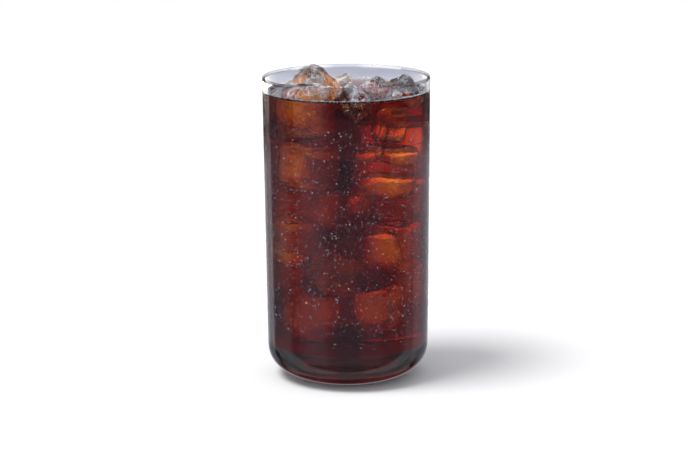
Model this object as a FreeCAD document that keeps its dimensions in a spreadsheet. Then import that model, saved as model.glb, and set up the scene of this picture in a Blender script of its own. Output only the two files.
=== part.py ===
import FreeCAD, Part
import Sketcher
import math
import os

# An iced americano in its one glass. The tumbler is a solid of revolution with a thin
# rounded lip, a straight wall that narrows a little and a soft heel under a heavier
# base. The coffee fills it to just under the lip and is cut round the ice that breaks
# its surface. The ice is moulded cubes, each with a hollow in one face, melted round at
# the edges and lying at odd angles against the wall.
# The origin is the middle of the foot, on the surface the glass stands on, with +Z up.

doc = FreeCAD.newDocument("iced_americano")
sheet = doc.addObject("Spreadsheet::Sheet", "sizes")

# ---------------------------------------------------------------- driving dimensions
# Lengths are in millimetres and angles in degrees. Names say what each one measures.
GLASS_SIZES = {
    "glass_height": 146.3,
    "lip_radius": 40.0,
    "lip_wall": 1.3,
    "wall_taper": 1.2,
    "heel_wall": 2.0,
    "heel_radius": 13.5,
    "heel_easing": 11.5,
    "heel_run": 20.0,
    "foot_ring": 4.5,
    "foot_hollow": 0.9,
    "base_thickness": 4.6,
    "inner_heel_radius": 13.0,
}

COFFEE_SIZES = {
    "space_over_coffee": 7.8,
    "meniscus_width": 2.4,
    "meniscus_rise": 1.1,
}

# What every cube shares: the hollow that its mould leaves, and how near it may lie to
# the glass and to another cube.
ICE_SIZES = {
    "hollow_depth_share": 0.08,
    "hollow_width_share": 0.56,
    "ice_to_wall": 0.6,
    "ice_to_ice": 0.5,
}

# Each cube's own side, height and edge rounding, then where its middle lies: how far
# from the axis, in which direction seen from above, and how high over the coffee; then
# how it is turned about the upright, leaned about its depth and tipped about its width.
ICE_CUBES = {
    "ice_left_back": (26.0, 26.5, 8.8, 19.5, 145.0, -3.2, 8.0, 45.0, -2.0),
    "ice_left_front": (23.0, 24.5, 5.0, 23.8, 223.0, -6.1, 24.0, -1.0, -1.0),
    "ice_middle": (16.0, 16.8, 3.8, 13.2, 15.0, -3.0, -34.0, -36.0, -75.0),
    "ice_front": (14.0, 14.6, 3.2, 27.2, 277.2, -1.0, 9.0, -46.0, 47.0),
    "ice_right": (13.4, 14.0, 3.8, 28.3, 342.3, 1.6, 12.0, -24.0, 8.0),
    "ice_back": (9.5, 11.0, 2.6, 31.6, 91.8, -1.0, 14.0, 74.0, -80.0),
}
ICE_WORDS = ("side", "height", "round", "from_axis", "bearing", "rise", "turn", "lean", "tip")


def fill_sheet():
    """Write every size into the sheet as a plain number under its own alias."""
    rows = []
    for group in (GLASS_SIZES, COFFEE_SIZES, ICE_SIZES):
        rows.extend(group.items())
    for cube, values in ICE_CUBES.items():
        rows.extend((cube + "_" + word, value) for word, value in zip(ICE_WORDS, values))
    for row, (name, value) in enumerate(rows, start=1):
        sheet.set("A%d" % row, name)
        sheet.set("B%d" % row, str(value))
        sheet.setAlias("B%d" % row, name)
    doc.recompute()


def size(name):
    """The number that the sheet holds under this name."""
    return float(sheet.get(name))


def point(across, up):
    """A point of a sketch, from its two coordinates."""
    return FreeCAD.Vector(across, up, 0)


def plane_of(body, role):
    """The origin plane of this body that has this role."""
    return next(plane for plane in body.Origin.OriginFeatures if plane.Role == role)


def new_body(label):
    """An empty body whose label names its file."""
    body = doc.addObject("PartDesign::Body", label)
    body.Label = label
    return body


def new_sketch(body, name, role):
    """A sketch on one of the body's own origin planes."""
    sketch = body.newObject("Sketcher::SketchObject", name)
    sketch.AttachmentSupport = [(plane_of(body, role), "")]
    sketch.MapMode = "FlatFace"
    return sketch


def bind(sketch, name, kind, places, formula):
    """Add a dimension to the sketch, driven by a formula in the sheet's names."""
    value = sketch.evalExpression(formula)
    number = float(getattr(value, "Value", value))
    index = sketch.addConstraint(Sketcher.Constraint(kind, *places, number))
    sketch.renameConstraint(index, name)
    sketch.setExpression("Constraints." + name, formula)


def join(sketch, first, second, kind="Coincident"):
    """Join the end of one edge to the start of the next; each is (edge, end)."""
    sketch.addConstraint(Sketcher.Constraint(kind, *first, *second))


# Ends of an edge and the fixed elements of a sketch, as the constraints number them.
START = 1
END = 2
CENTRE = 3
ACROSS_AXIS = -1
UP_AXIS = -2
ORIGIN = (-1, 1)


def arc(middle, radius, from_degrees, to_degrees):
    """An arc of a sketch, counter-clockwise between two directions."""
    circle = Part.Circle(FreeCAD.Vector(*middle), FreeCAD.Vector(0, 0, 1), radius)
    return Part.ArcOfCircle(circle, math.radians(from_degrees), math.radians(to_degrees))


# ------------------------------------------------------------------ shape of the wall
# Both faces of the wall are straight lines that lean out by a small angle, and each
# meets its heel arc at a tangent. The drawings below start from these solved points.
def inner_wall():
    """Top and foot of the inner face, its lean, and the middle of its heel arc."""
    top_x = size("lip_radius") - size("lip_wall")
    top_z = size("glass_height") - size("lip_wall") / 2
    foot_x = size("lip_radius") - size("wall_taper") - size("heel_wall")
    radius = size("inner_heel_radius")
    floor = size("base_thickness")
    lean = 0.0
    for _ in range(8):
        foot_z = floor + radius - radius * math.sin(lean)
        lean = math.atan2(top_x - foot_x, top_z - foot_z)
    middle = (foot_x - radius * math.cos(lean), floor + radius, 0)
    return point(top_x, top_z), point(foot_x, foot_z), lean, middle


def outer_wall():
    """Top and foot of the outer face, its lean, and the middles of its two heel arcs."""
    top_x = size("lip_radius")
    top_z = size("glass_height") - size("lip_wall") / 2
    foot_x = size("lip_radius") - size("wall_taper")
    radius = size("heel_radius")
    easing = size("heel_easing")
    stand = foot_x - size("heel_run")
    lean = 0.0
    for _ in range(8):
        inset = foot_x - radius * math.cos(lean) - stand
        drop = math.sqrt(easing ** 2 - inset ** 2)
        foot_z = radius + easing - drop - radius * math.sin(lean)
        lean = math.atan2(top_x - foot_x, top_z - foot_z)
    tight = (stand + inset, radius + easing - drop, 0)
    wide = (stand, radius + easing, 0)
    return point(top_x, top_z), point(foot_x, foot_z), lean, tight, wide


def inner_radius_at(height):
    """Radius of the straight part of the inner face at this height."""
    top, foot, lean, middle = inner_wall()
    return foot.x + (height - foot.y) * math.tan(lean)


def coffee_level():
    """Height of the flat surface of the coffee."""
    return size("glass_height") - size("space_over_coffee")


def constrain_inner_face(sketch, wall, heel, floor):
    """Tie the inner wall, its heel arc and the floor to the sheet."""
    bind(sketch, "inner_top_x", "DistanceX", (*ORIGIN, wall, START),
         "sizes.lip_radius - sizes.lip_wall")
    bind(sketch, "inner_top_z", "DistanceY", (*ORIGIN, wall, START),
         "sizes.glass_height - sizes.lip_wall / 2")
    bind(sketch, "inner_foot_x", "DistanceX", (*ORIGIN, wall, END),
         "sizes.lip_radius - sizes.wall_taper - sizes.heel_wall")
    join(sketch, (heel, END), (wall, END), "Tangent")
    join(sketch, (floor, END), (heel, START), "Tangent")
    bind(sketch, "inner_heel", "Radius", (heel,), "sizes.inner_heel_radius")
    sketch.addConstraint(Sketcher.Constraint("Horizontal", floor))
    sketch.addConstraint(Sketcher.Constraint("PointOnObject", floor, START, UP_AXIS))
    bind(sketch, "floor_z", "DistanceY", (*ORIGIN, floor, START), "sizes.base_thickness")


# ------------------------------------------------------------------------- the glass
def make_glass():
    """The tumbler: one closed section, turned once round the upright axis."""
    body = new_body("glass")
    sketch = new_sketch(body, "glass_section", "XZ_Plane")
    top, foot, lean, tight, wide = outer_wall()
    inner_top, inner_foot, inner_lean, inner_middle = inner_wall()
    stand = wide[0]
    ring = stand - size("foot_ring")
    hollow = size("foot_hollow")
    hollow_radius = (ring ** 2 + hollow ** 2) / (2 * hollow)
    sweep = math.degrees(math.atan2(tight[1] - wide[1], tight[0] - wide[0]))
    edge = math.degrees(math.asin(ring / hollow_radius))
    lean_degrees = math.degrees(lean)
    inner_degrees = math.degrees(inner_lean)
    lip = ((top.x + inner_top.x) / 2, top.y, 0)
    floor = size("base_thickness")

    stand_line = sketch.addGeometry(Part.LineSegment(point(ring, 0), point(stand, 0)))
    wide_arc = sketch.addGeometry(arc(wide, size("heel_radius") + size("heel_easing"), -90, sweep))
    tight_arc = sketch.addGeometry(arc(tight, size("heel_radius"), sweep, -lean_degrees))
    outer_line = sketch.addGeometry(Part.LineSegment(foot, top))
    lip_arc = sketch.addGeometry(arc(lip, size("lip_wall") / 2, 0, 180))
    inner_line = sketch.addGeometry(Part.LineSegment(inner_top, inner_foot))
    inner_arc = sketch.addGeometry(arc(inner_middle, size("inner_heel_radius"), -90, -inner_degrees))
    floor_line = sketch.addGeometry(Part.LineSegment(point(0, floor), point(inner_middle[0], floor)))
    axis_line = sketch.addGeometry(Part.LineSegment(point(0, floor), point(0, hollow)))
    hollow_arc = sketch.addGeometry(
        arc((0, hollow - hollow_radius, 0), hollow_radius, 90 - edge, 90))

    join(sketch, (stand_line, END), (wide_arc, START), "Tangent")
    join(sketch, (wide_arc, END), (tight_arc, START), "Tangent")
    join(sketch, (tight_arc, END), (outer_line, START), "Tangent")
    join(sketch, (outer_line, END), (lip_arc, START))
    join(sketch, (lip_arc, END), (inner_line, START))
    join(sketch, (floor_line, START), (axis_line, START))
    join(sketch, (axis_line, END), (hollow_arc, END))
    join(sketch, (hollow_arc, START), (stand_line, START))
    constrain_inner_face(sketch, inner_line, inner_arc, floor_line)

    sketch.addConstraint(Sketcher.Constraint("PointOnObject", stand_line, START, ACROSS_AXIS))
    sketch.addConstraint(Sketcher.Constraint("Horizontal", stand_line))
    sketch.addConstraint(Sketcher.Constraint("Vertical", axis_line))
    sketch.addConstraint(Sketcher.Constraint("PointOnObject", hollow_arc, CENTRE, UP_AXIS))
    sketch.addConstraint(Sketcher.Constraint("Horizontal", lip_arc, START, lip_arc, CENTRE))
    bind(sketch, "lip_x", "DistanceX", (*ORIGIN, outer_line, END), "sizes.lip_radius")
    bind(sketch, "heel_x", "DistanceX", (*ORIGIN, outer_line, START),
         "sizes.lip_radius - sizes.wall_taper")
    bind(sketch, "stand_x", "DistanceX", (*ORIGIN, stand_line, END),
         "sizes.lip_radius - sizes.wall_taper - sizes.heel_run")
    bind(sketch, "ring", "DistanceX", (stand_line, START, stand_line, END), "sizes.foot_ring")
    bind(sketch, "hollow_z", "DistanceY", (*ORIGIN, axis_line, END), "sizes.foot_hollow")
    bind(sketch, "tight", "Radius", (tight_arc,), "sizes.heel_radius")
    bind(sketch, "wide", "Radius", (wide_arc,), "sizes.heel_radius + sizes.heel_easing")

    turn = body.newObject("PartDesign::Revolution", "glass_turn")
    turn.Profile = sketch
    turn.ReferenceAxis = (sketch, ["V_Axis"])
    turn.Angle = 360
    doc.recompute()
    return body


# ------------------------------------------------------------------------ the coffee
def make_coffee_fill():
    """The drink as it would stand without ice: the inside of the glass up to its level,
    with the edge drawn up where it wets the wall."""
    body = new_body("coffee_fill")
    sketch = new_sketch(body, "coffee_section", "XZ_Plane")
    inner_top, inner_foot, inner_lean, inner_middle = inner_wall()
    inner_degrees = math.degrees(inner_lean)
    floor = size("base_thickness")
    level = coffee_level()
    width = size("meniscus_width")
    rise = size("meniscus_rise")
    wet_x = inner_radius_at(level + rise)
    curl = (width ** 2 + rise ** 2) / (2 * rise)
    curl_end = math.degrees(math.asin((curl - rise) / curl))

    wall_line = sketch.addGeometry(Part.LineSegment(inner_top, inner_foot), True)
    inner_arc = sketch.addGeometry(arc(inner_middle, size("inner_heel_radius"), -90, -inner_degrees))
    floor_line = sketch.addGeometry(Part.LineSegment(point(0, floor), point(inner_middle[0], floor)))
    side_line = sketch.addGeometry(Part.LineSegment(inner_foot, point(wet_x, level + rise)))
    curl_arc = sketch.addGeometry(arc((wet_x - width, level + curl, 0), curl, -90, -curl_end))
    level_line = sketch.addGeometry(Part.LineSegment(point(wet_x - width, level), point(0, level)))
    axis_line = sketch.addGeometry(Part.LineSegment(point(0, level), point(0, floor)))

    constrain_inner_face(sketch, wall_line, inner_arc, floor_line)
    join(sketch, (side_line, START), (wall_line, END))
    sketch.addConstraint(Sketcher.Constraint("PointOnObject", side_line, END, wall_line))
    join(sketch, (side_line, END), (curl_arc, END))
    join(sketch, (level_line, START), (curl_arc, START), "Tangent")
    join(sketch, (level_line, END), (axis_line, START))
    join(sketch, (axis_line, END), (floor_line, START))
    sketch.addConstraint(Sketcher.Constraint("Horizontal", level_line))
    sketch.addConstraint(Sketcher.Constraint("Vertical", axis_line))
    bind(sketch, "level_z", "DistanceY", (*ORIGIN, level_line, END),
         "sizes.glass_height - sizes.space_over_coffee")
    bind(sketch, "curl_width", "DistanceX", (curl_arc, START, curl_arc, END), "sizes.meniscus_width")
    bind(sketch, "curl_rise", "DistanceY", (curl_arc, START, curl_arc, END), "sizes.meniscus_rise")

    turn = body.newObject("PartDesign::Revolution", "coffee_turn")
    turn.Profile = sketch
    turn.ReferenceAxis = (sketch, ["V_Axis"])
    turn.Angle = 360
    doc.recompute()
    return body


# --------------------------------------------------------------------------- the ice
def make_ice_cube(name):
    """One cube about its own middle: a square block with the mould's hollow turned into
    its upper face, and every edge melted round."""
    body = new_body(name)
    side = "sizes." + name + "_side"
    height = "sizes." + name + "_height"
    half = size(name + "_side") / 2

    square = new_sketch(body, name + "_square", "XY_Plane")
    corners = [point(half * x, half * y) for x, y in ((-1, -1), (1, -1), (1, 1), (-1, 1))]
    edges = []
    for index in range(4):
        line = Part.LineSegment(corners[index], corners[(index + 1) % 4])
        edges.append(square.addGeometry(line))
    for index in range(4):
        join(square, (edges[index], END), (edges[(index + 1) % 4], START))
        direction = "Horizontal" if index % 2 == 0 else "Vertical"
        square.addConstraint(Sketcher.Constraint(direction, edges[index]))
    square.addConstraint(Sketcher.Constraint("Symmetric", edges[0], START, edges[2], START, *ORIGIN))
    bind(square, "width", "DistanceX", (edges[0], START, edges[0], END), side)
    bind(square, "depth", "DistanceY", (edges[1], START, edges[1], END), side)

    block = body.newObject("PartDesign::Pad", name + "_block")
    block.Profile = square
    block.SideType = "Symmetric"
    block.setExpression("Length", height)
    doc.recompute()

    melt = body.newObject("PartDesign::Fillet", name + "_melt")
    melt.Base = (block, ["Edge%d" % (index + 1) for index in range(len(block.Shape.Edges))])
    melt.setExpression("Radius", "sizes." + name + "_round")
    doc.recompute()
    make_hollow(body, name, melt)
    return body


def make_hollow(body, name, melt):
    """Turn the shallow hollow into the cube's upper face. It is a cap of a ball whose
    middle stands over the face."""
    top = size(name + "_height") / 2
    depth = size(name + "_side") * size("hollow_depth_share")
    half_width = size(name + "_side") * size("hollow_width_share") / 2
    ball = (half_width ** 2 + depth ** 2) / (2 * depth)
    before = melt.Shape.Volume

    cap = new_sketch(body, name + "_hollow_section", "XZ_Plane")
    over = ball - depth
    bowl = cap.addGeometry(arc((0, top + over, 0), ball, -90, 0))
    lid = cap.addGeometry(Part.LineSegment(point(ball, top + over), point(0, top + over)))
    axis = cap.addGeometry(Part.LineSegment(point(0, top + over), point(0, top - depth)))
    join(cap, (bowl, END), (lid, START))
    join(cap, (lid, END), (axis, START))
    join(cap, (axis, END), (bowl, START))
    join(cap, (bowl, CENTRE), (lid, END))
    cap.addConstraint(Sketcher.Constraint("Horizontal", lid))
    cap.addConstraint(Sketcher.Constraint("Vertical", axis))
    cap.addConstraint(Sketcher.Constraint("PointOnObject", axis, END, UP_AXIS))
    side = "sizes." + name + "_side"
    width_rule = "(" + side + " * sizes.hollow_width_share / 2)"
    depth_rule = "(" + side + " * sizes.hollow_depth_share)"
    bind(cap, "hollow_floor", "DistanceY", (*ORIGIN, axis, END),
         "sizes." + name + "_height / 2 - " + depth_rule)
    bind(cap, "hollow_ball", "Radius", (bowl,),
         "(" + width_rule + " ^ 2 + " + depth_rule + " ^ 2) / (2 * " + depth_rule + ")")

    groove = body.newObject("PartDesign::Groove", name + "_hollow")
    groove.Profile = cap
    groove.ReferenceAxis = (cap, ["V_Axis"])
    groove.Angle = 360
    doc.recompute()
    if groove.Shape.Volume >= before:
        raise RuntimeError(name + ": the hollow cuts nothing")


def cube_turn(name):
    """How the cube is turned, leaned and tipped."""
    upright = FreeCAD.Rotation(FreeCAD.Vector(0, 0, 1), size(name + "_turn"))
    depth = FreeCAD.Rotation(FreeCAD.Vector(0, 1, 0), size(name + "_lean"))
    width = FreeCAD.Rotation(FreeCAD.Vector(1, 0, 0), size(name + "_tip"))
    return upright.multiply(depth).multiply(width)


def wall_gap(name, middle, turn):
    """Least room between the cube's rounded corners and the wall at their own heights."""
    rounding = size(name + "_round")
    half = size(name + "_side") / 2 - rounding
    half_height = size(name + "_height") / 2 - rounding
    gaps = []
    for x in (-half, half):
        for y in (-half, half):
            for z in (-half_height, half_height):
                corner = middle + turn.multVec(FreeCAD.Vector(x, y, z))
                reach = math.hypot(corner.x, corner.y) + rounding
                gaps.append(inner_radius_at(corner.z) - reach)
    return min(gaps)


def settle(body, name, settled):
    """Lay the cube at its place. It is drawn in from the wall until it clears the glass,
    and then sinks until it clears the cubes that already lie there."""
    step = 0.25
    turn = cube_turn(name)
    bearing = math.radians(size(name + "_bearing"))
    away = size(name + "_from_axis")
    height = coffee_level() + size(name + "_rise")
    middle = FreeCAD.Vector(away * math.cos(bearing), away * math.sin(bearing), height)
    while away > step and wall_gap(name, middle, turn) < size("ice_to_wall"):
        away -= step
        middle = FreeCAD.Vector(away * math.cos(bearing), away * math.sin(bearing), height)
    body.Placement = FreeCAD.Placement(middle, turn)
    while any(body.Shape.distToShape(other.Shape)[0] < size("ice_to_ice") for other in settled):
        middle = middle - FreeCAD.Vector(0, 0, step)
        body.Placement = FreeCAD.Placement(middle, turn)


def make_ice():
    """Every cube, the largest first, each laid clear of those before it."""
    settled = []
    for name in ICE_CUBES:
        body = make_ice_cube(name)
        settle(body, name, settled)
        settled.append(body)
    doc.recompute()
    return settled


def make_coffee(fill, cubes):
    """The drink cut round the ice that breaks its surface."""
    ice = doc.addObject("Part::Compound", "ice_together")
    ice.Links = cubes
    coffee = doc.addObject("Part::Cut", "coffee")
    coffee.Label = "coffee"
    coffee.Base = fill
    coffee.Tool = ice
    doc.recompute()
    return coffee


def check_document():
    """Stop if any object of the document failed to build."""
    for item in doc.Objects:
        if "Invalid" in item.State or "Error" in item.State:
            raise RuntimeError(item.Name + " did not build: " + str(item.State))


def write_parts(parts):
    """Write each sub-part to the file that its label names."""
    os.makedirs("parts", exist_ok=True)
    for part in parts:
        shape = part.Shape
        if shape.isNull() or not shape.isValid():
            raise RuntimeError(part.Label + " has no valid shape")
        shape.exportStep(os.path.join("parts", part.Label + ".step"))
        print("%s: %d solid, %.1f cm3" % (part.Label, len(shape.Solids), shape.Volume / 1000))


fill_sheet()
glass = make_glass()
coffee_fill = make_coffee_fill()
ice_cubes = make_ice()
coffee = make_coffee(coffee_fill, ice_cubes)
check_document()
write_parts([glass, coffee] + ice_cubes)
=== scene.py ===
import math
import random

import bmesh
import bpy
import numpy
from mathutils import Matrix, Vector, noise


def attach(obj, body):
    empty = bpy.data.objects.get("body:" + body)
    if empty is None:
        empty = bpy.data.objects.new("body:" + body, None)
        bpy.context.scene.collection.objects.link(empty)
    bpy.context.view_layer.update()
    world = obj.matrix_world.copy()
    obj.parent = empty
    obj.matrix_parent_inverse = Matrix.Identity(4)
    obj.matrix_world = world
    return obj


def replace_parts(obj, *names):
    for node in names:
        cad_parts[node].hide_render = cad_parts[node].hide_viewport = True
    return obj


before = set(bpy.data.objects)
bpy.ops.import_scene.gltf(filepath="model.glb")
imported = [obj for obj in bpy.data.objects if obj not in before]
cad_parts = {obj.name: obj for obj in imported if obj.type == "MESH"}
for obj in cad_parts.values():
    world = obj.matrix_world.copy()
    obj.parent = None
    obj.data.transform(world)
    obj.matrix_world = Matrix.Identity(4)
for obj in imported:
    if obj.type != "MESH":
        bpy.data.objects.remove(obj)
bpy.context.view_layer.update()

# ------------------------------------------------------------------------ the glass
# A tumbler of clear glass, turned about the upright: a thin fire-polished lip, a wall
# that narrows a little, and a soft heel of two arcs over a thicker base with a shallow
# hollow underneath.
LIP_RADIUS, LIP_WALL, GLASS_HEIGHT = 40.0, 1.3, 146.3
FOOT_RADIUS, HEEL_WALL, STAND_RADIUS = 38.8, 2.0, 18.8
HEEL_RADIUS, HEEL_EASING, FOOT_RING, FOOT_HOLLOW = 13.5, 11.5, 4.5, 0.9
BASE_THICKNESS, INNER_HEEL = 4.6, 13.0
TURN_STEPS, POLE_MERGE = 256, 0.0005
LIP_MIDDLE = GLASS_HEIGHT - LIP_WALL / 2


def pen(drawing, vertex, across, up):
    """Draw a straight edge from a vertex to a place on the section."""
    new = bmesh.ops.extrude_vert_indiv(drawing, verts=[vertex])["verts"][0]
    new.co = (across, 0.0, up)
    return new


def pen_round(drawing, vertex, across, up, degrees, steps):
    """Draw on round a centre, anticlockwise as the section is seen, and give the end."""
    turned = bmesh.ops.spin(drawing, geom=[vertex], cent=(across, 0, up), axis=(0, -1, 0),
                            dvec=(0, 0, 0), angle=math.radians(degrees), steps=steps,
                            use_merge=False, use_duplicate=False)
    return next(part for part in turned["geom_last"] if isinstance(part, bmesh.types.BMVert))


def pen_wall(drawing, vertex, across, up):
    """Draw a long straight wall. A short run at each end keeps its shading straight."""
    start, end = vertex.co.copy(), Vector((across, 0, up))
    short = 0.004
    for share in (short, 1 - short, 1.0):
        place = start.lerp(end, share)
        vertex = pen(drawing, vertex, place.x, place.z)
    return vertex


def turned_round(drawing):
    """Turn a section once about the upright, and close its poles."""
    bmesh.ops.spin(drawing, geom=drawing.verts[:] + drawing.edges[:], cent=(0, 0, 0),
                   axis=(0, 0, 1), dvec=(0, 0, 0), angle=math.radians(360),
                   steps=TURN_STEPS, use_merge=True, use_duplicate=False)
    bmesh.ops.remove_doubles(drawing, verts=drawing.verts[:], dist=POLE_MERGE)
    bmesh.ops.recalc_face_normals(drawing, faces=drawing.faces[:])


def piece(name, drawing, finish):
    """Make a drawing in millimetres into a piece of the drink, in metres."""
    bmesh.ops.scale(drawing, vec=(0.001, 0.001, 0.001), verts=drawing.verts[:])
    mesh = bpy.data.meshes.new(name)
    drawing.to_mesh(mesh)
    drawing.free()
    mesh.polygons.foreach_set("use_smooth", [True] * len(mesh.polygons))
    mesh.materials.append(finish)
    made = bpy.data.objects.new(name, mesh)
    bpy.context.scene.collection.objects.link(made)
    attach(made, "root")
    return made


class Reading:
    """A value or colour inside a material, so that sums on it read as plain Python."""

    def __init__(self, finish, socket):
        self.finish = finish
        self.socket = socket

    def worked(self, operation, first, second=0.0):
        return self.finish.node("ShaderNodeMath", {"operation": operation}, {0: first, 1: second})

    def __add__(self, other):
        return self.worked("ADD", self, other)

    def __radd__(self, other):
        return self.worked("ADD", other, self)

    def __mul__(self, other):
        return self.worked("MULTIPLY", self, other)

    def __rmul__(self, other):
        return self.worked("MULTIPLY", other, self)

    def __pow__(self, other):
        return self.worked("POWER", self, other)

    def __gt__(self, other):
        return self.worked("GREATER_THAN", self, other)

    def above(self, other):
        return self.worked("MAXIMUM", self, other)

    def held(self):
        return self.worked("MINIMUM", self.above(0.0), 1.0)


class Finish:
    """A material, or the room's light, with one method that adds any node to it."""

    def __init__(self, owner):
        self.owner = owner
        owner.use_nodes = True
        self.tree = owner.node_tree
        self.tree.nodes.clear()

    def node(self, kind, settings=None, sockets=None, out=0):
        made = self.tree.nodes.new(kind)
        for word, value in (settings or {}).items():
            setattr(made, word, value)
        for socket, value in (sockets or {}).items():
            if isinstance(value, Reading):
                self.tree.links.new(value.socket, made.inputs[socket])
            else:
                made.inputs[socket].default_value = value
        return Reading(self, made.outputs[out])

    def place(self):
        return self.node("ShaderNodeTexCoord", out="Object")

    def axis(self, vector, letter):
        return self.node("ShaderNodeSeparateXYZ", {}, {0: vector}, out=letter)

    def ease(self, value, low, high, start=0.0, end=1.0):
        return self.node("ShaderNodeMapRange", {"interpolation_type": "SMOOTHSTEP"},
                         {"Value": value, "From Min": low, "From Max": high,
                          "To Min": start, "To Max": end})

    def clouds(self, vector, scale, detail=2.0, roughness=0.5):
        return self.node("ShaderNodeTexNoise", {}, {
            "Vector": vector, "Scale": scale, "Detail": detail, "Roughness": roughness})

    def blend(self, share, first, second):
        return self.node("ShaderNodeMix", {"data_type": "RGBA"},
                         {0: share, 6: first, 7: second}, out=2)

    def layered(self, share, under, over):
        """Two shaders, with the second showing in this share."""
        return self.node("ShaderNodeMixShader", {}, {0: share, 1: under, 2: over})

    def finished(self, surface, volume=None):
        sockets = {"Surface": surface}
        if volume:
            sockets["Volume"] = volume
        kind = "World" if isinstance(self.owner, bpy.types.World) else "Material"
        output = self.tree.nodes.new("ShaderNodeOutput" + kind)
        for name, reading in sockets.items():
            self.tree.links.new(reading.socket, output.inputs[name])
        return self.owner


def glass_lean():
    """Lean of the outer wall, and how far its heel arc lies in from the foot and down."""
    lean = 0.0
    for _ in range(8):
        inset = FOOT_RADIUS - HEEL_RADIUS * math.cos(lean) - STAND_RADIUS
        drop = math.sqrt(HEEL_EASING ** 2 - inset ** 2)
        foot_up = HEEL_RADIUS + HEEL_EASING - drop - HEEL_RADIUS * math.sin(lean)
        lean = math.atan2(LIP_RADIUS - FOOT_RADIUS, LIP_MIDDLE - foot_up)
    return lean, inset, drop


def inner_lean():
    """Lean of the inner wall."""
    lean = 0.0
    for _ in range(8):
        foot_up = BASE_THICKNESS + INNER_HEEL - INNER_HEEL * math.sin(lean)
        lean = math.atan2(LIP_RADIUS - LIP_WALL - FOOT_RADIUS + HEEL_WALL, LIP_MIDDLE - foot_up)
    return lean


def inner_radius(up):
    """Radius of the inside of the glass at this height."""
    lean = inner_lean()
    foot_up = BASE_THICKNESS + INNER_HEEL - INNER_HEEL * math.sin(lean)
    if up >= foot_up:
        return FOOT_RADIUS - HEEL_WALL + (up - foot_up) * math.tan(lean)
    reach = INNER_HEEL ** 2 - (BASE_THICKNESS + INNER_HEEL - up) ** 2
    return FOOT_RADIUS - HEEL_WALL - INNER_HEEL * math.cos(lean) + math.sqrt(max(reach, 0.0))


def outer_radius(up):
    """Radius of the outside of the straight wall at this height."""
    lean, inset, drop = glass_lean()
    foot_up = HEEL_RADIUS + HEEL_EASING - drop - HEEL_RADIUS * math.sin(lean)
    return FOOT_RADIUS + (up - foot_up) * math.tan(lean)


def draw_glass():
    lean, inset, drop = glass_lean()
    ring = STAND_RADIUS - FOOT_RING
    hollow_radius = (ring ** 2 + FOOT_HOLLOW ** 2) / (2 * FOOT_HOLLOW)
    sweep = -math.degrees(math.atan2(drop, inset))
    lean_degrees, inner_degrees = math.degrees(lean), math.degrees(inner_lean())
    inner_middle = FOOT_RADIUS - HEEL_WALL - INNER_HEEL * math.cos(inner_lean())

    section = bmesh.new()
    start = section.verts.new((0, 0, FOOT_HOLLOW))
    tip = pen_round(section, start, 0, FOOT_HOLLOW - hollow_radius,
                    -math.degrees(math.asin(ring / hollow_radius)), 6)
    tip = pen(section, tip, STAND_RADIUS, 0)
    tip = pen_round(section, tip, STAND_RADIUS, HEEL_RADIUS + HEEL_EASING, sweep + 90, 14)
    tip = pen_round(section, tip, STAND_RADIUS + inset, HEEL_RADIUS + HEEL_EASING - drop,
                    -lean_degrees - sweep, 12)
    tip = pen_wall(section, tip, LIP_RADIUS, LIP_MIDDLE)
    tip = pen_round(section, tip, LIP_RADIUS - LIP_WALL / 2, LIP_MIDDLE, 180, 10)
    foot_up = BASE_THICKNESS + INNER_HEEL - INNER_HEEL * math.sin(inner_lean())
    tip = pen_wall(section, tip, FOOT_RADIUS - HEEL_WALL, foot_up)
    tip = pen_round(section, tip, inner_middle, BASE_THICKNESS + INNER_HEEL,
                    inner_degrees - 90, 16)
    pen_wall(section, tip, 0, BASE_THICKNESS)
    turned_round(section)
    return section


# The glass is cold, so its outside is misted, from over the heel to under the shoulder.
# The middle of the wall parts the outside from the inside. All of this is in metres.
MIST_STARTS, MIST_ENDS = (0.012, 0.045), (0.118, 0.136)
WALL_MIDDLE, WALL_SPREAD = 0.0378, 0.0095
LIP_STARTS, LIP_OPEN = (0.1444, 0.1452), 0.62


def clear_glass():
    finish = Finish(bpy.data.materials.new("clear_glass"))
    place = finish.place()
    across, deep, up = (finish.axis(place, letter) for letter in "XYZ")
    radius = (across * across + deep * deep) ** 0.5
    outside = radius > (WALL_MIDDLE + up * WALL_SPREAD)
    height_share = finish.ease(up, *MIST_STARTS) * finish.ease(up, *MIST_ENDS, 1.0, 0.0)
    patches = finish.ease(finish.clouds(place, 28.0, 3.0), 0.36, 0.62)
    mist = outside * height_share * patches
    grain = finish.clouds(place, 2600.0, 2.0, 0.6)
    colour = finish.blend(mist, (0.955, 0.962, 0.985, 1), (0.93, 0.935, 0.965, 1))
    bump = finish.node("ShaderNodeBump", {}, {
        "Strength": 0.06, "Distance": 0.00006, "Height": grain * mist}, out="Normal")
    clear = finish.node("ShaderNodeBsdfPrincipled", {}, {
        "Base Color": colour, "Roughness": 0.008 + mist * 0.02, "IOR": 1.5,
        "Transmission Weight": 1.0, "Normal": bump})

    # A film of water too fine to see as drops, thickest low down and on the front.
    specks = finish.ease(finish.clouds(place, 1500.0, 1.0), 0.42, 0.60)
    lower = finish.ease(up, 0.085, 0.115, 1.0, 0.12)
    flanks = finish.ease(across, -0.036, -0.024) * finish.ease(across, 0.024, 0.038, 1.0, 0.5)
    veil = mist * lower * flanks * (0.35 + specks * 0.65) * 0.008
    film = finish.node("ShaderNodeBsdfDiffuse", {}, {"Color": (0.80, 0.81, 0.90, 1)})
    wall = finish.layered(veil, clear, film)

    # The lip is too thin to bend what is seen through it much.
    lip = finish.ease(up, *LIP_STARTS, 0.0, LIP_OPEN)
    open_view = finish.node("ShaderNodeBsdfTransparent", {}, {"Color": (0.93, 0.93, 0.97, 1)})
    return finish.finished(finish.layered(lip, wall, open_view))


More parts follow.
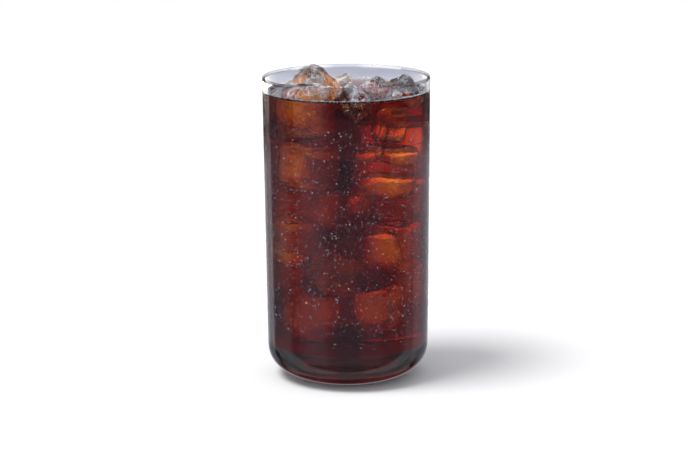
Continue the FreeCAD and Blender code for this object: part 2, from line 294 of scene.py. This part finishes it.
glass = piece("tumbler", draw_glass(), clear_glass())
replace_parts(glass, "glass")


# --------------------------------------------------------- the ice above the surface
# Six moulded cubes of clear ice float up and break the surface. The mould left a hollow
# in one face of each, and their edges and faces have melted soft and wavy.

# Side, height and rounding, how far the middle lies from the upright, in which direction
# and how high over the coffee, then turn, lean and tip.
SURFACE_ICE = {
    "ice_left_back": (26.0, 26.5, 8.8, 19.5, 145.0, -3.2, 8, 45, -2),
    "ice_left_front": (23.0, 24.5, 5.0, 23.8, 223.0, -6.1, 24, -1, -1),
    "ice_middle": (16.0, 16.8, 3.8, 13.2, 15.0, -3.0, -34, -36, -75),
    "ice_front": (14.0, 14.6, 3.2, 27.2, 277.2, -1.0, 9, -46, 47),
    "ice_right": (13.4, 14.0, 3.8, 28.3, 342.3, 1.6, 12, -24, 8),
    "ice_back": (9.5, 11.0, 2.6, 31.6, 91.8, -1.0, 14, 74, -80),
}
LEVEL = 138.5
ICE_SEAM, SURFACE_GRAIN, EDGE_MERGE = 0.06, 0.5, 0.002
FINE_RIPPLE, FINE_SHARE = 0.4, 0.4


def even_skin(drawing, grain):
    """Give a closed drawing an even skin of small quads."""
    mesh = bpy.data.meshes.new("skin")
    drawing.to_mesh(mesh)
    drawing.free()
    shell = bpy.data.objects.new("skin", mesh)
    bpy.context.scene.collection.objects.link(shell)
    skin = shell.modifiers.new("skin", "REMESH")
    skin.mode = "VOXEL"
    skin.voxel_size = grain
    bpy.context.view_layer.update()
    smooth = shell.evaluated_get(bpy.context.evaluated_depsgraph_get())
    drawing = bmesh.new()
    drawing.from_mesh(smooth.to_mesh())
    bpy.data.objects.remove(shell)
    bpy.data.meshes.remove(mesh)
    return drawing


def melt(drawing, ripple, depth, seed):
    """Melt a cube's skin back unevenly, always inwards."""
    bmesh.ops.smooth_vert(drawing, verts=drawing.verts[:], factor=0.5,
                          use_axis_x=True, use_axis_y=True, use_axis_z=True)
    drawing.normal_update()
    shift = Vector((seed * 17.3, seed * 5.1, seed * 9.7))
    for vertex in drawing.verts:
        wave = noise.noise(vertex.co / ripple + shift)
        wave += FINE_SHARE * noise.noise(vertex.co / (ripple * FINE_RIPPLE) + shift)
        vertex.co -= vertex.normal * depth * max(0.0, 0.5 + 0.5 * wave)
    drawing.normal_update()


def draw_surface_cube(node, seed):
    source = bmesh.new()
    source.from_mesh(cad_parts[node].data)
    bmesh.ops.scale(source, vec=(1000, 1000, 1000), verts=source.verts[:])
    bmesh.ops.remove_doubles(source, verts=source.verts[:], dist=EDGE_MERGE)
    cube = even_skin(source, SURFACE_GRAIN)
    melt(cube, ripple=4.0, depth=1.5, seed=seed)
    return cube


def seam_of(cube):
    """The same cube drawn in by the seam, as the drink's own wall against the ice."""
    inner = cube.copy()
    inner.normal_update()
    for vertex in inner.verts:
        vertex.co -= vertex.normal * ICE_SEAM
    return inner


def gather(drawings, whole):
    """Add closed drawings to a larger one, and let go of them."""
    for drawing in drawings:
        mesh = bpy.data.meshes.new("gathered")
        drawing.to_mesh(mesh)
        drawing.free()
        whole.from_mesh(mesh)
        bpy.data.meshes.remove(mesh)


def clear_ice(name, frosted, wavy):
    """Wet clear ice; above the drink it is frosted and crazed in patches."""
    finish = Finish(bpy.data.materials.new(name))
    place = finish.place()
    dry = finish.ease(finish.axis(place, "Z"), 0.1372, 0.1400)
    patches = finish.ease(finish.clouds(place, 120.0, 5.0, 0.7), 0.44, 0.62)
    crack = finish.node("ShaderNodeTexVoronoi", {"feature": "DISTANCE_TO_EDGE"},
                        {"Vector": place, "Scale": 330.0}, out="Distance")
    cracked_parts = finish.ease(finish.clouds(place, 60.0, 2.0), 0.42, 0.55)
    crazed = finish.ease(crack, 0.0, 0.09, 1.0, 0.0) * cracked_parts
    frost = (patches * 0.6 + crazed * 0.7).held() * dry
    colour = finish.blend(frost, (0.985, 0.99, 1.0, 1), (0.93, 0.945, 0.97, 1))
    waves = finish.clouds(place, 210.0, 3.0)
    bump = finish.node("ShaderNodeBump", {}, {
        "Strength": wavy, "Distance": 0.0007, "Height": waves}, out="Normal")
    clear = finish.node("ShaderNodeBsdfPrincipled", {}, {
        "Base Color": colour, "Roughness": frost * 0.3, "IOR": 1.31,
        "Transmission Weight": 1.0, "Normal": bump})
    white = finish.node("ShaderNodeBsdfPrincipled", {}, {
        "Base Color": (0.86, 0.87, 0.92, 1), "Roughness": 0.35, "IOR": 1.31, "Normal": bump})
    return finish.finished(finish.layered(frost * frosted, clear, white))


surface_ice_finish = clear_ice("surface_ice", frosted=0.85, wavy=0.6)
seams = bmesh.new()
for seed, node in enumerate(SURFACE_ICE, start=1):
    cube = draw_surface_cube(node, seed)
    gather([seam_of(cube)], seams)
    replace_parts(piece(node + "_melted", cube, surface_ice_finish), node)


# --------------------------------------------------------------------- the sunk ice
# More cubes of the same kind lie under the surface, close against the glass and one
# another. The drink closes round them, and it glows where they leave less of it.

# Side, height and rounding, the middle, then turn, lean and tip.
SUNK_ICE = (
    (16, 17, 4, 22, -22, 128, 15, 8, -10),
    (25, 26, 6, 19, -18, 109, -22, 6, -4),
    (22, 23, 5, 20, 18, 122, 38, 4, 6),
    (22, 23, 5, -1, 25, 116, 4, 8, -6),
    (23, 23, 5.5, -18, -18, 107, 42, 3, 5),
    (22, 23, 5, -22, 16, 106, -28, 8, 6),
    (22, 23, 6, -24, -14, 69, 30, -8, 10),
    (21, 22, 6, 0, 2, 86, 20, 14, 8),
    (22, 23, 5, -14, 22, 80, 20, 6, 10),
    (22, 23, 5, 16, 20, 88, -16, 12, -8),
    (20, 21, 5, -11, -24, 57, 22, 26, 12),
    (24, 25, 6, 21, -17, 68, -12, 6, 8),
    (22, 23, 6, 4, 22, 60, 10, -8, 10),
    (20, 21, 5, -24, 10, 56, -18, 10, 10),
    (24, 25, 8, -15, -17, 37, 24, 10, 14),
    (23, 24, 8, 14, -19, 38, -14, -12, 8),
    (23, 24, 7, 2, 16, 33, 40, 6, -8),
    (20, 21, 6, 27, 8, 44, 4, 10, 10),
)
CUBE_APART, SUNK_TO_WALL, SUNK_TOP = 0.6, 0.5, 137.2
SETTLING_ROUNDS, NEAREST_ROUNDS, CLOSE_BY = 150, 12, 0.86
SUNK_GRAIN, HOLLOW_DEPTH, HOLLOW_REACH, HOLLOW_FACE = 1.0, 0.08, 0.28, 0.45


def cube_turn(turn, lean, tip):
    """How a cube is turned about the upright, then leant and tipped."""
    return (Matrix.Rotation(math.radians(turn), 4, "Z")
            @ Matrix.Rotation(math.radians(lean), 4, "Y")
            @ Matrix.Rotation(math.radians(tip), 4, "X"))


def core(block):
    """Half sizes of the box that a cube's rounding is rolled round."""
    side, height, rounding = block[:3]
    return Vector((side / 2 - rounding, side / 2 - rounding, height / 2 - rounding))


def nearest_in(block, place):
    """The point of a cube's core that lies nearest to a place."""
    middle, turned = block[3], block[4].to_3x3()
    own = turned.transposed() @ (place - middle)
    held = [max(-most, min(most, value)) for most, value in zip(core(block), own)]
    return middle + turned @ Vector(held)


def gap_between(first, second):
    """Room between two cubes, and the way from the first to the second."""
    place = second[3]
    for _ in range(NEAREST_ROUNDS):
        near = nearest_in(first, place)
        place = nearest_in(second, near)
    away = place - near
    gap = away.length - first[2] - second[2]
    return gap, (away if away.length > 0.01 else second[3] - first[3]).normalized()


def keep_inside(block):
    """Push a cube in from the glass and down from the surface."""
    reach, middle = core(block), block[3]
    for x in (-reach.x, reach.x):
        for y in (-reach.y, reach.y):
            for z in (-reach.z, reach.z):
                corner = middle + block[4] @ Vector((x, y, z))
                out = math.hypot(corner.x, corner.y)
                over = max(0.0, out + block[2] + SUNK_TO_WALL - inner_radius(corner.z))
                middle.x -= over * corner.x / out
                middle.y -= over * corner.y / out
                middle.z -= max(0.0, corner.z + block[2] - SUNK_TOP)


def settle_ice():
    """Let the sunk cubes push one another apart until every one lies clear."""
    held = []
    for side, height, rounding, from_axis, bearing, rise, turn, lean, tip in SURFACE_ICE.values():
        way = math.radians(bearing)
        middle = Vector((from_axis * math.cos(way), from_axis * math.sin(way), LEVEL + rise))
        held.append((side, height, rounding, middle, cube_turn(turn, lean, tip)))
    free = [(side, height, rounding, Vector((x, y, z)), cube_turn(turn, lean, tip))
            for side, height, rounding, x, y, z, turn, lean, tip in SUNK_ICE]
    for _ in range(SETTLING_ROUNDS):
        for index, block in enumerate(free):
            for other in held + free[:index]:
                if (block[3] - other[3]).length < (block[0] + other[0]) * CLOSE_BY:
                    gap, away = gap_between(other, block)
                    push = max(0.0, CUBE_APART - gap) * (1.0 if other in held else 0.5)
                    block[3].xyz += away * push
                    if other not in held:
                        other[3].xyz -= away * push
            keep_inside(block)
    return free


def draw_sunk_cube(side, height, rounding, middle, turned, seed):
    block = bmesh.new()
    bmesh.ops.create_cube(block, size=1.0)
    bmesh.ops.scale(block, vec=(side, side, height), verts=block.verts[:])
    bmesh.ops.bevel(block, geom=block.edges[:], offset=rounding, offset_type="OFFSET",
                    affect="EDGES", segments=5, profile=0.5, material=-1)
    cube = even_skin(block, SUNK_GRAIN)
    for vertex in cube.verts:
        away = math.hypot(vertex.co.x, vertex.co.y) / (side * HOLLOW_REACH)
        if vertex.co.z > height * HOLLOW_FACE and away < 1:
            vertex.co.z -= side * HOLLOW_DEPTH * (1 - away ** 2)
    melt(cube, ripple=6.0, depth=0.9, seed=seed + 20)
    bmesh.ops.transform(cube, matrix=Matrix.Translation(middle) @ turned,
                        verts=cube.verts[:])
    return cube


sunk = bmesh.new()
sunk_seams = bmesh.new()
for seed, block in enumerate(settle_ice()):
    cube = draw_sunk_cube(*block, seed)
    inner = seam_of(cube)
    bmesh.ops.reverse_faces(inner, faces=inner.faces[:])
    gather([cube], sunk)
    gather([inner], sunk_seams)
piece("sunk_ice", sunk, clear_ice("sunk_ice", frosted=0.0, wavy=0.03))


# ----------------------------------------------------------------------- the coffee
# Black coffee let down with water: a clear red-brown liquid that fills the glass to
# just under the lip, climbs the wall a little at its edge and closes round the ice.
# It reaches just into the glass, so that no air shows between the two.
WET_LINE, MENISCUS_WIDTH = 139.6, 2.4
GLASS_SEAM, SHARP_EDGE = 0.06, 35


def draw_coffee():
    """The drink to its level, turned to the glass's inside and up its meniscus."""
    lean = inner_lean()
    inner_middle = FOOT_RADIUS - HEEL_WALL - INNER_HEEL * math.cos(lean)
    rise = WET_LINE - LEVEL
    curl = (MENISCUS_WIDTH ** 2 + rise ** 2) / (2 * rise)
    wet = inner_radius(WET_LINE)
    curl_start = math.degrees(math.asin((curl - rise) / curl))

    section = bmesh.new()
    start = section.verts.new((0, 0, BASE_THICKNESS - GLASS_SEAM))
    tip = pen_wall(section, start, inner_middle, BASE_THICKNESS - GLASS_SEAM)
    tip = pen_round(section, tip, inner_middle, BASE_THICKNESS + INNER_HEEL,
                    90 - math.degrees(lean), 16)
    tip = pen_wall(section, tip, wet + GLASS_SEAM, WET_LINE)
    tip = pen(section, tip, wet, WET_LINE)
    tip = pen_round(section, tip, wet - MENISCUS_WIDTH, LEVEL + curl, curl_start - 90, 8)
    pen_wall(section, tip, 0, LEVEL)
    turned_round(section)
    return section


def cut_round(drawing, cutters):
    """Cut a closed drawing round other closed drawings."""
    things = []
    for name, part in (("drink", drawing), ("ice", cutters)):
        mesh = bpy.data.meshes.new(name)
        part.to_mesh(mesh)
        part.free()
        thing = bpy.data.objects.new(name, mesh)
        bpy.context.scene.collection.objects.link(thing)
        things.append(thing)
    cut = things[0].modifiers.new("cut", "BOOLEAN")
    cut.operation, cut.solver, cut.object = "DIFFERENCE", "EXACT", things[1]
    bpy.context.view_layer.update()
    whole = things[0].evaluated_get(bpy.context.evaluated_depsgraph_get())
    drawing = bmesh.new()
    drawing.from_mesh(whole.to_mesh())
    for thing in things:
        bpy.data.objects.remove(thing)
    return drawing


def clear_coffee():
    finish = Finish(bpy.data.materials.new("black_coffee"))
    place = finish.place()
    haze = finish.clouds(place, 60.0, 2.0)
    colour = finish.blend(haze, (1.0, 0.99, 0.98, 1), (0.99, 0.97, 0.95, 1))
    surface = finish.node("ShaderNodeBsdfPrincipled", {}, {
        "Base Color": colour, "Roughness": 0.0, "IOR": 1.333, "Transmission Weight": 1.0})
    depth = finish.node("ShaderNodeVolumeAbsorption", {}, {
        "Color": (0.80, 0.47, 0.0, 1), "Density": 232.0})
    return finish.finished(surface, depth)


drink = cut_round(draw_coffee(), seams)
gather([sunk_seams], drink)
coffee = piece("coffee_round_ice", drink, clear_coffee())
coffee.data.set_sharp_from_angle(angle=math.radians(SHARP_EDGE))
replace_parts(coffee, "coffee")


# ---------------------------------------------------------------------- the bubbles
# Air from the poured coffee has gathered as small round bubbles where the surface meets
# the glass, thickest along the front and the right, and a few lie out on the surface.
BUBBLE_COUNT, SMALLEST, LARGEST = 520, 0.20, 0.55
FRONT_BEARING, BEARING_SPREAD = -72, 58
FROM_WALL, OUT_ON_SURFACE, CLIMB = 0.15, 3.6, 1.1


def draw_bubbles():
    chance = random.Random(21)
    wall = inner_radius(LEVEL)
    bubbles = []
    for _ in range(BUBBLE_COUNT):
        radius = chance.uniform(SMALLEST, LARGEST)
        out = wall - radius - FROM_WALL - OUT_ON_SURFACE * chance.random() ** 3
        around = math.radians(chance.gauss(FRONT_BEARING, BEARING_SPREAD))
        up = LEVEL + 0.35 * radius + CLIMB * max(0.0, 1 - (wall - out) / MENISCUS_WIDTH)
        place = Matrix.Translation((out * math.cos(around), out * math.sin(around), up))
        bubble = bmesh.new()
        bmesh.ops.create_icosphere(bubble, subdivisions=2, radius=radius, matrix=place)
        bubbles.append(bubble)
    drawing = bmesh.new()
    gather(bubbles, drawing)
    return drawing


def thin_film():
    finish = Finish(bpy.data.materials.new("bubble_film"))
    shade = finish.clouds(finish.place(), 700.0, 1.0)
    colour = finish.blend(shade, (0.97, 0.97, 1.0, 1), (0.93, 0.90, 0.88, 1))
    clear = finish.node("ShaderNodeBsdfPrincipled", {}, {
        "Base Color": colour, "Roughness": 0.05, "IOR": 1.333, "Transmission Weight": 1.0})
    # Part of each bubble is a pale matte white, a painted glint standing in for the bright specks
    # that lamp and room make on the films.
    painted_glint = finish.node("ShaderNodeBsdfDiffuse", {}, {"Color": (0.90, 0.88, 0.92, 1)})
    painted_glint_share = finish.ease(shade, 0.4, 0.6, 0.12, 0.6)
    return finish.finished(finish.layered(painted_glint_share, clear, painted_glint))


piece("surface_bubbles", draw_bubbles(), thin_film())


# ------------------------------------------------------------------ the condensation
# Water from the air has settled on the cold outside as low domes: a fine mist nearly
# everywhere between heel and shoulder, and larger drops scattered over it.
MIST_COUNT, DROP_COUNT = 7600, 4800
MIST_RINGS = ((0.72, 0.42), (0.3, 0.6))
DROP_RINGS = ((0.80, 0.42), (0.35, 0.68))
FADE_LOW, FADE_HIGH = 14.0, 12.0
PATCHES_ROUND, PATCHES_TALL = 2.2, 26.0
WET_BEARING, MOSTLY_SMALL, FOOT_SUNK = -50, 2.4, 0.03


def dome(sides, rings):
    """One low dome of unit radius with its flat foot just under the glass."""
    drop = bmesh.new()
    bmesh.ops.create_circle(drop, cap_ends=True, segments=sides, radius=1.0)
    rim = [edge for edge in drop.edges]
    for radius, up in rings:
        grown = bmesh.ops.extrude_edge_only(drop, edges=rim)["geom"]
        ring = [part for part in grown if isinstance(part, bmesh.types.BMVert)]
        rim = [part for part in grown if isinstance(part, bmesh.types.BMEdge)]
        for vertex in ring:
            flat = vertex.co.to_2d().normalized() * radius
            vertex.co = (flat.x, flat.y, up)
    bmesh.ops.contextual_create(drop, geom=rim)
    bmesh.ops.recalc_face_normals(drop, faces=drop.faces[:])
    bmesh.ops.triangulate(drop, faces=drop.faces[:])
    corners = numpy.array([vertex.co[:] for vertex in drop.verts])
    faces = numpy.array([[vertex.index for vertex in face.verts] for face in drop.faces])
    drop.free()
    return corners, faces


def scatter(name, count, sides, rings, sizes, heights, seed, finish):
    """Settle domes on the outside of the glass and join them into one piece."""
    chance = random.Random(seed)
    corners, faces = dome(sides, rings)
    least, most = sizes
    low, high = heights
    lean = glass_lean()[0]
    all_corners, all_faces = [], []
    while len(all_corners) < count:
        around = chance.uniform(0, 2 * math.pi)
        up = chance.uniform(low, high)
        edge = min((up - low) / FADE_LOW, (high - up) / FADE_HIGH, 1.0)
        patch = 0.5 + 0.5 * noise.noise(Vector((
            math.cos(around) * PATCHES_ROUND, math.sin(around) * PATCHES_ROUND,
            up / PATCHES_TALL + seed)))
        side_share = 0.62 + 0.38 * math.cos(around - math.radians(WET_BEARING))
        if chance.random() > edge * (0.35 + 0.65 * patch) * side_share:
            continue
        size = least + (most - least) * chance.random() ** MOSTLY_SMALL
        turn = chance.uniform(0, 2 * math.pi)
        stretch = chance.uniform(0.85, 1.2)
        shaped = corners * (size, size * stretch, size * chance.uniform(0.85, 1.1))
        cos_t, sin_t = math.cos(turn), math.sin(turn)
        flat_x = shaped[:, 0] * cos_t - shaped[:, 1] * sin_t
        flat_y = shaped[:, 0] * sin_t + shaped[:, 1] * cos_t
        out = shaped[:, 2]
        sag = 0.5 * size * size / LIP_RADIUS
        radius = outer_radius(up) - sag - FOOT_SUNK + out
        swing = around + flat_x / outer_radius(up)
        placed = numpy.stack([radius * numpy.cos(swing), radius * numpy.sin(swing),
                              up + flat_y - out * math.sin(lean)], axis=1)
        all_faces.append(faces + len(all_corners) * len(corners))
        all_corners.append(placed)
    mesh = bpy.data.meshes.new(name)
    mesh.from_pydata((numpy.concatenate(all_corners) * 0.001).tolist(), [],
                     numpy.concatenate(all_faces).tolist())
    mesh.polygons.foreach_set("use_smooth", [True] * len(mesh.polygons))
    mesh.materials.append(finish)
    made = bpy.data.objects.new(name, mesh)
    bpy.context.scene.collection.objects.link(made)
    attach(made, "root")
    return made


def clear_water():
    finish = Finish(bpy.data.materials.new("condensed_water"))
    place = finish.place()
    shade = finish.clouds(place, 90.0, 1.0)
    colour = finish.blend(shade, (1.0, 1.0, 1.0, 1), (0.97, 0.98, 0.99, 1))
    clear = finish.node("ShaderNodeBsdfPrincipled", {}, {
        "Base Color": colour, "Roughness": 0.09, "IOR": 1.333, "Transmission Weight": 1.0})
    # Some drops are partly a pale matte white, a painted glint standing in for the lamp's small
    # highlights on the domes.
    painted_glint = finish.node("ShaderNodeBsdfDiffuse", {}, {"Color": (0.85, 0.85, 0.92, 1)})
    painted_glint_share = finish.ease(finish.clouds(place, 900.0, 1.0), 0.52, 0.66, 0.0, 0.30)
    return finish.finished(finish.layered(painted_glint_share, clear, painted_glint))


water = clear_water()
scatter("condensed_mist", MIST_COUNT, 5, MIST_RINGS, (0.11, 0.24), (18.0, 128.0), 3, water)
scatter("condensed_drops", DROP_COUNT, 7, DROP_RINGS, (0.16, 0.44), (20.0, 132.0), 8, water)


# --------------------------------------------------------------------------- the room
# A plain pale floor and a pale room, with a large soft lamp high on the left and a
# little in front. Nothing here belongs to the drink.
FLOOR_RADIUS = 1.6
LAMP_STRENGTH, LAMP_WIDTH, LAMP_POINTS = 2.0, 26, Vector((0.40, 0.17, -0.90))

floor_drawing = bmesh.new()
bmesh.ops.create_circle(floor_drawing, cap_ends=True, segments=96, radius=FLOOR_RADIUS)
floor_mesh = bpy.data.meshes.new("floor")
floor_drawing.to_mesh(floor_mesh)
floor_drawing.free()
floor = bpy.data.objects.new("floor", floor_mesh)
bpy.context.scene.collection.objects.link(floor)


def pale_floor():
    finish = Finish(bpy.data.materials.new("pale_floor"))
    glossy_ray = finish.node("ShaderNodeLightPath", out="Is Glossy Ray")
    passing_ray = finish.node("ShaderNodeLightPath", out="Is Transmission Ray")
    lit = finish.node("ShaderNodeBsdfDiffuse", {}, {"Color": (1.0, 1.0, 1.0, 1)})
    open_view = finish.node("ShaderNodeBsdfTransparent")
    return finish.finished(finish.layered(glossy_ray.above(passing_ray), lit, open_view))


floor_mesh.materials.append(pale_floor())


def pale_room():
    """White where it is looked at; round the drink, pale cards and a lilac back."""
    world = bpy.data.worlds.new("pale_room")
    bpy.context.scene.world = world
    finish = Finish(world)
    way = finish.node("ShaderNodeTexCoord", out="Generated")
    across, deep, up = (finish.axis(way, letter) for letter in "XYZ")
    turned = finish.node("ShaderNodeMath", {"operation": "ARCTAN2"}, {0: across, 1: deep})
    bearing = turned * (180 / math.pi)

    def card(low_start, low_end, high_start, high_end):
        """A card that stands between two bearings, in degrees from straight behind."""
        left = finish.ease(bearing, low_start, low_end)
        return left * finish.ease(bearing, high_start, high_end, 1.0, 0.0)

    def band(low_start, low_end, high_start, high_end):
        """A band between two slopes, from -1 straight down to 1 straight up."""
        low = finish.ease(up, low_start, low_end)
        return low * finish.ease(up, high_start, high_end, 1.0, 0.0)

    # What shows through the drink: a lilac room, darker below eye level and in front.
    level = band(-0.34, -0.26, -0.12, -0.06)
    through = finish.blend(level, (0.80, 0.80, 0.86, 1), (0.26, 0.26, 0.30, 1))
    behind = card(-95, -80, 80, 95)
    through = finish.blend(behind * 0.72 + 0.28, (0.0, 0.0, 0.0, 1), through)
    # The white wall behind, with a narrow darker gap in its middle.
    through = finish.blend(card(-50, -34, 20, 42), through, (1.2, 1.17, 1.12, 1))
    through = finish.blend(card(-7, -2.5, 2.5, 7), through, (0.62, 0.64, 0.75, 1))
    # Behind the shoulder, brighter on the left and duller on the right.
    bright = band(-0.19, -0.172, -0.154, -0.151) * card(-46, -38, -8, -4)
    through = finish.blend(bright, through, (3.6, 3.5, 3.1, 1))
    dull = band(-0.174, -0.168, -0.154, -0.151) * card(9, 13, 25, 30)
    through = finish.blend(dull, through, (0.72, 0.72, 0.80, 1))
    # Lilac behind the empty rim, pale overhead, and shade on the floor under the foot.
    through = finish.blend(band(-0.151, -0.147, -0.126, -0.118), through, (0.50, 0.51, 0.60, 1))
    through = finish.blend(finish.ease(up, 0.45, 0.6), through, (1.3, 1.3, 1.34, 1))
    underfoot = finish.ease(up, -0.75, -0.45, 1.0, 0.0) * card(-50, -35, 35, 50)
    through = finish.blend(underfoot, through, (0.42, 0.41, 0.45, 1))

    # What the drink mirrors: side cards, a dim front that is paler on its left, a dark
    # band at the shoulder, a dark floor and a white ceiling.
    mirrored = finish.blend(card(-50, -47, 70, 76), (0.10, 0.10, 0.13, 1), (0.30, 0.31, 0.36, 1))
    mirrored = finish.blend(card(-34, -20, 20, 34), mirrored, (0.52, 0.52, 0.58, 1))
    mirrored = finish.blend(card(-50, -47, -44, -30), mirrored, (0.45, 0.44, 0.50, 1))
    mirrored = finish.blend(card(20, 60, 68, 74), mirrored, (0.42, 0.39, 0.46, 1))
    front = finish.ease(bearing, 128, 132) + finish.ease(bearing, -158, -150, 1.0, 0.0)
    mirrored = finish.blend(front.held(), mirrored, (0.19, 0.20, 0.28, 1))
    shoulder = band(-0.195, -0.172, -0.160, -0.152)
    mirrored = finish.blend(shoulder, mirrored, (0.02, 0.02, 0.025, 1))
    mirrored = finish.blend(card(-160, -142, -128, -96), mirrored, (0.40, 0.42, 0.53, 1))
    floor_share = finish.ease(up, -0.60, -0.40, 1.0, 0.0)
    mirrored = finish.blend(floor_share, mirrored, (0.04, 0.04, 0.05, 1))
    mirrored = finish.blend(finish.ease(up, 0.13, 0.36), mirrored, (1.0, 1.0, 1.08, 1))

    camera_ray = finish.node("ShaderNodeLightPath", out="Is Camera Ray")
    glossy_ray = finish.node("ShaderNodeLightPath", out="Is Glossy Ray")
    passing_ray = finish.node("ShaderNodeLightPath", out="Is Transmission Ray")
    room = finish.blend(passing_ray, mirrored, through)
    room = finish.blend(camera_ray, room, (1, 1, 1, 1))
    shown = camera_ray.above(glossy_ray).above(passing_ray)
    colour = finish.blend(shown, (0.56, 0.56, 0.59, 1), room)
    return finish.finished(finish.node("ShaderNodeBackground", {},
                                       {"Color": colour, "Strength": 1.0}))


pale_room()

soft = bpy.data.lights.new("soft_lamp", "SUN")
soft.energy, soft.angle, soft.color = LAMP_STRENGTH, math.radians(LAMP_WIDTH), (1.0, 0.99, 0.98)
soft_lamp = bpy.data.objects.new("soft_lamp", soft)
soft_lamp.rotation_euler = LAMP_POINTS.to_track_quat("-Z", "Y").to_euler()
bpy.context.scene.collection.objects.link(soft_lamp)

# ------------------------------------------------------------------------- the camera
# It stands in front and a little above, looks slightly down on the drink, and leans a
# little to the left. Distances are in metres and angles in degrees.
DISTANCE, ELEVATION, LEFT_LEAN = 1.078, 12.23, 0.4
AIM, FOCAL_LENGTH, SHIFT = Vector((0, 0, 0.07315)), 114.9, (0.00404, -0.00761)
lens = bpy.data.cameras.new("camera")
lens.lens, lens.sensor_width = FOCAL_LENGTH, 36.0
lens.shift_x, lens.shift_y = SHIFT
camera = bpy.data.objects.new("camera", lens)
tilt = math.radians(ELEVATION)
camera.location = AIM + DISTANCE * Vector((0, -math.cos(tilt), math.sin(tilt)))
upright = (AIM - camera.location).to_track_quat("-Z", "Y")
leaned = Matrix.Rotation(math.radians(-LEFT_LEAN), 3, "Z")
camera.rotation_euler = (upright.to_matrix() @ leaned).to_euler()
bpy.context.scene.collection.objects.link(camera)
bpy.context.scene.camera = camera

# Light goes through many clear skins on its way, so it needs many bounces.
scene = bpy.context.scene
scene.view_settings.view_transform = "Standard"
scene.cycles.max_bounces = 32
scene.cycles.transmission_bounces = 32
scene.cycles.glossy_bounces = 8
scene.cycles.diffuse_bounces = 3
